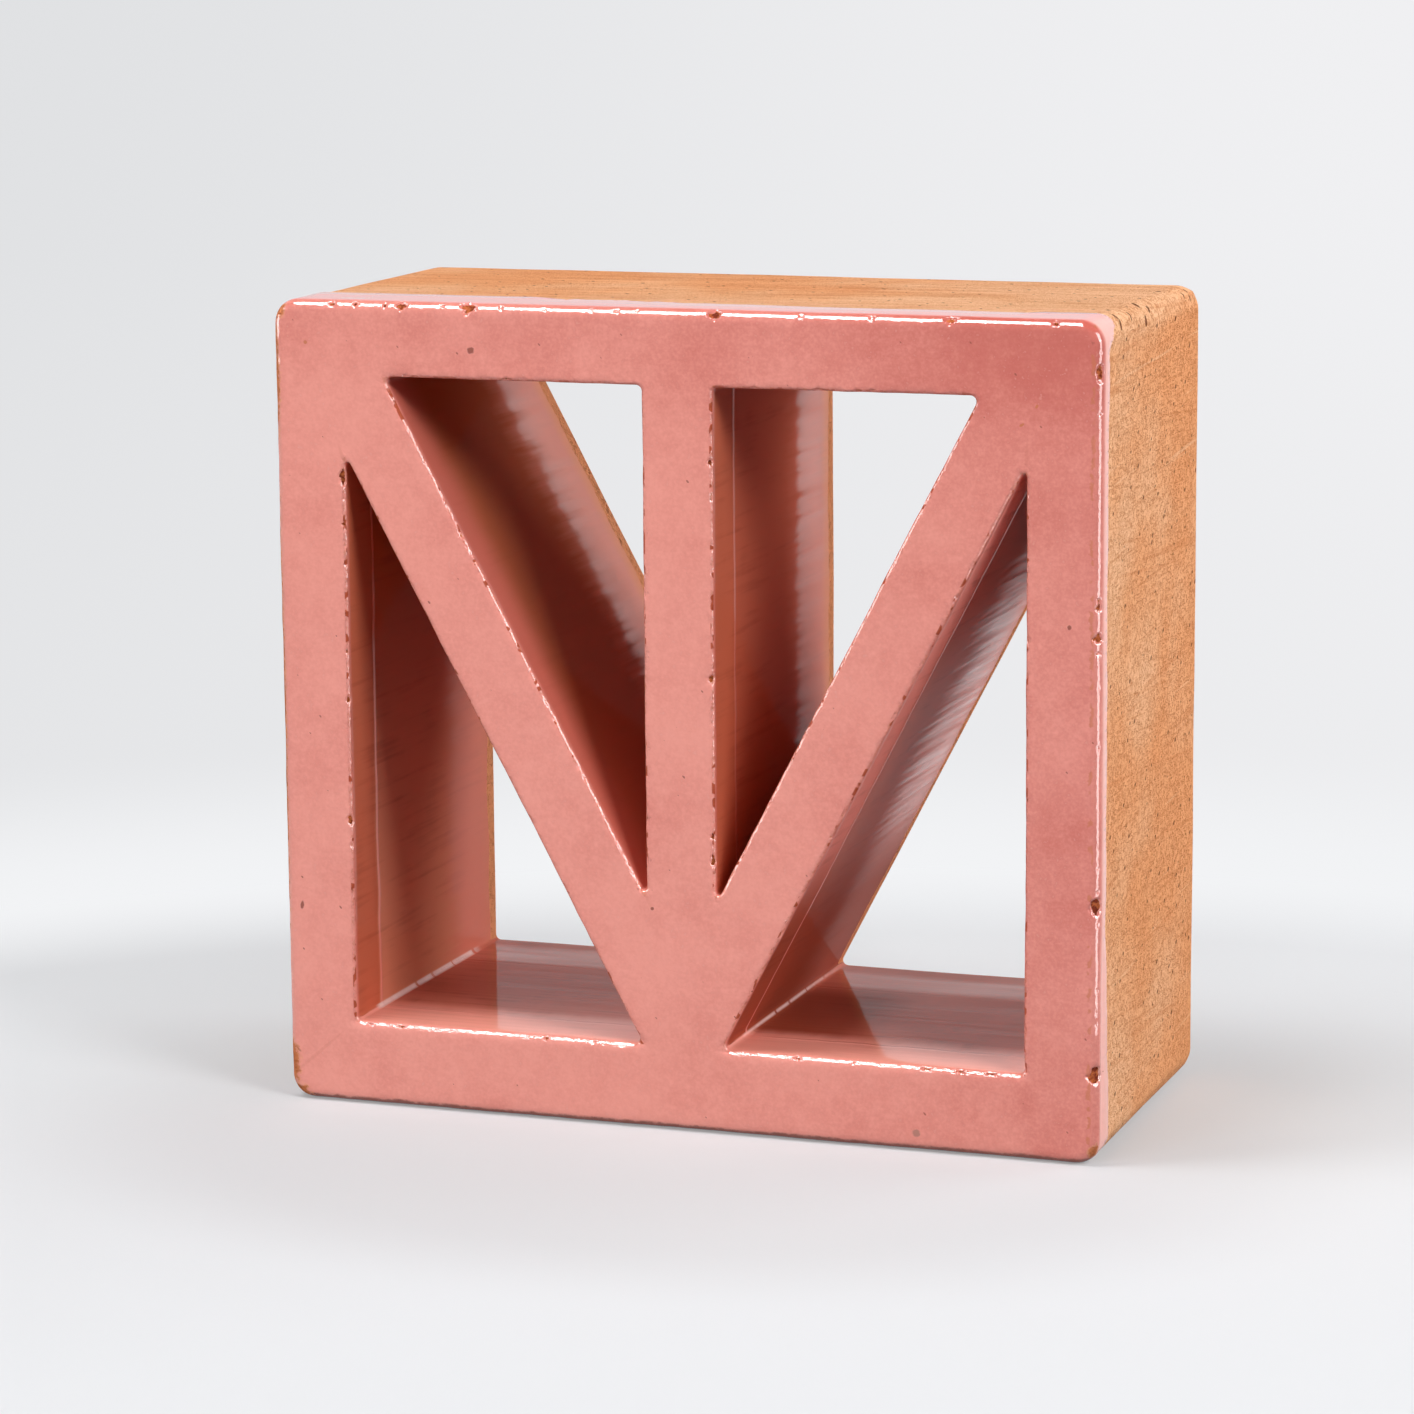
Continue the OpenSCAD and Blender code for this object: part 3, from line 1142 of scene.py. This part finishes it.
def bareClay(place, axes, flat, rim):
    x, depth, z = axes
    look = clayLook
    sand = place.grain(look["sandScale"], 3, 0.8)
    cloud = place.grain(look["cloudScale"], 2, 0.6)
    combed = place.stretch(*look["comb"]).grain(1.0, 2, 0.7)
    combed = combed * (1 - depth.step(look["plainFrom"], look["plainFrom"] + 1.5) * 0.35)
    worm = (flat.grain(look["wormScale"], 1, 0.5, flatOnly=True) - 0.5).size()
    groove = (1 - worm.step(0.02, 0.07)) * combed.step(0.40, 0.54)
    pale = cloud - depth * 0.0028 + sand * 0.3 + z.step(184, 190) * x.step(0, 90) * 0.3
    colour = pale.step(0.3, 0.8).blend(finish["clay"], finish["clayPale"])
    rough = (sand * 0.6 + combed * 0.4).step(0.44, 0.66)
    colour = (rough * look["sand"]).blend(colour, finish["clayDeep"])

    # lines dragged over the faces by the wire that cut the clay
    drag = place.turned((-3, 0, 0)).stretch(*look["drag"]).grain(1.0, 2, 0.6)
    dragBack = place.turned((4, 0, 0)).stretch(*look["dragBack"]).grain(1.0, 1, 0.6)
    scratch = drag.step(0.62, 0.67).most(dragBack.step(0.66, 0.71))
    colour = (scratch * look["scratch"]).blend(colour, finish["clayDeep"])
    colour = ((1 - drag.step(0.28, 0.34)) * look["paleDrag"]).blend(colour, finish["clayPale"])
    colour = (groove * look["groove"]).blend(colour, finish["clayDeep"])

    # pits, closer together by the top right corner
    away, pick = flat.spots(look["pitScale"])
    corner = x.step(92, 94) * z.step(184, 187)
    pit = 1 - (away + pick * 0.26 - corner * 0.08 + (sand - 0.5) * 0.2).step(0.07, 0.14)
    colour = (pit * look["pit"]).blend(colour, finish["pore"])
    colour = (rim * look["rim"]).blend(colour, finish["backRim"])
    height = (sand - 0.5) * 0.26 + (combed - 0.5) * 0.12 - groove * 0.3 - pit * 0.4
    return colour, height


def clayShader(wire, colour, height, coat):  # dull clay or glaze, with as much clear coat as it is given
    bump = wire.make("ShaderNodeBump", sockets={"Strength": 1.0, "Distance": mm, "Height": height})
    return wire.make("ShaderNodeBsdfPrincipled", sockets={
        "Base Color": colour, "Roughness": 0.85, "IOR": 1.5, "Specular IOR Level": 0.05, "Normal": bump,
        "Coat Weight": coat, "Coat Roughness": 0.08, "Coat IOR": 1.6})


def makeFinish():
    look = edgeLook
    material, wire = newMaterial("glazedClay")
    place = wire.make("ShaderNodeTexCoord", out=3)
    spot = place.stretch(1000, 1000, 1000).vector("ADD", (0, -frontY, 0))  # x, depth and z in millimetres
    parts = wire.make("ShaderNodeSeparateXYZ", sockets={0: spot})
    axes = [parts.also(i) for i in range(3)]
    x, depth, z = axes
    # two ways over any face, for patterns that lie flat on it
    flat = wire.make("ShaderNodeCombineXYZ", sockets={0: depth + (x - z) * 0.5, 1: x + z})
    names = ["glazed", "chipped", "arris", "inner"] + list(faceOf)
    marks = {name: markOf(wire, name) for name in names}
    arris, inner = marks["arris"], marks["inner"]

    # where the glaze covers the clay
    ragged = place.grain(look["raggedScale"], 2, 0.6) - 0.5
    isChip = (marks["chipped"] + ragged * 0.7).step(0.12, 0.3)
    onSill = marks["shelf"] * (1 - depth.step(*look["sillEnd"]))
    covered = (marks["glazed"] + ragged * 1.1 + onSill * 9).step(-0.15, 0.15) * (1 - isChip)
    patches = [spot.near(middle, reach, rough=ragged * 1.2) for middle, reach in barePatches]
    for patch in patches:
        covered = covered * (1 - patch)
    bare = mostOf(patches)

    # wear along the arrises, on the glaze of the faces and of the openings alike
    dash = place.grain(look["dashScale"], 1, 0.6)
    onLedge = 1 - marks["shelf"] * 0.8 - z.step(170, 173) * 0.5
    worn = arris.step(0.55, 0.8) * dash.step(0.605, 0.64) * onLedge
    rubbed = (arris + ragged * 1.6).step(0.85, 1.1) * look["rubbed"]

    def wear(colour):
        colour = rubbed.blend(colour, finish["thin"])
        return (worn * look["worn"]).blend(colour, finish["dash"])

    frontColour, frontHeight = frontGlaze(place, spot, axes, flat, dash, arris)
    front = clayShader(wire, wear(frontColour), frontHeight, 1 - worn)

    insideColour, insideHeight, insideCoat = insideGlaze(place, axes, marks)
    # broken beads of glaze where the walls meet the sill, with a painted highlight along them
    tick = place.stretch(*look["tickScale"]).grain(1.0, 2, 0.7)
    seamLit = depth.step(11, 14) * (1 - depth.step(72, 78)) * tick.step(0.40, 0.43) * (0.4 + tick)
    reach = (seamWidth, 90, seamWidth)
    seamAt = mostOf([spot.near((corner, 45, bottom), reach) for corner, bottom in seams])
    insideColour = (seamAt * seamLit * insideLook["seamHighlight"]).blend(insideColour, finish["seamHighlight"])
    insideCoat = (insideCoat * (1 - seamAt)).most(seamAt * seamLit)
    inside = clayShader(wire, wear(insideColour), insideHeight, insideCoat * (1 - worn))

    clayColour, clayHeight = bareClay(place, axes, flat, inner * (depth - 78).step(0, 4))
    clayColour = (bare * look["bare"]).blend(clayColour, finish["chipOrange"])
    chipTone = place.grain(look["chipScale"], 2, 0.7).step(0.40, 0.60)
    chipTone = chipTone.blend(finish["chipDark"], finish["chipOrange"])
    clay = clayShader(wire, isChip.blend(clayColour, chipTone), clayHeight, 0.0)

    glazed = wire.make("ShaderNodeMixShader", sockets={0: inner, 1: front, 2: inside})
    finishMaterial(wire, wire.make("ShaderNodeMixShader", sockets={0: covered, 1: clay, 2: glazed}))
    return material


makeBlock(makeFinish())
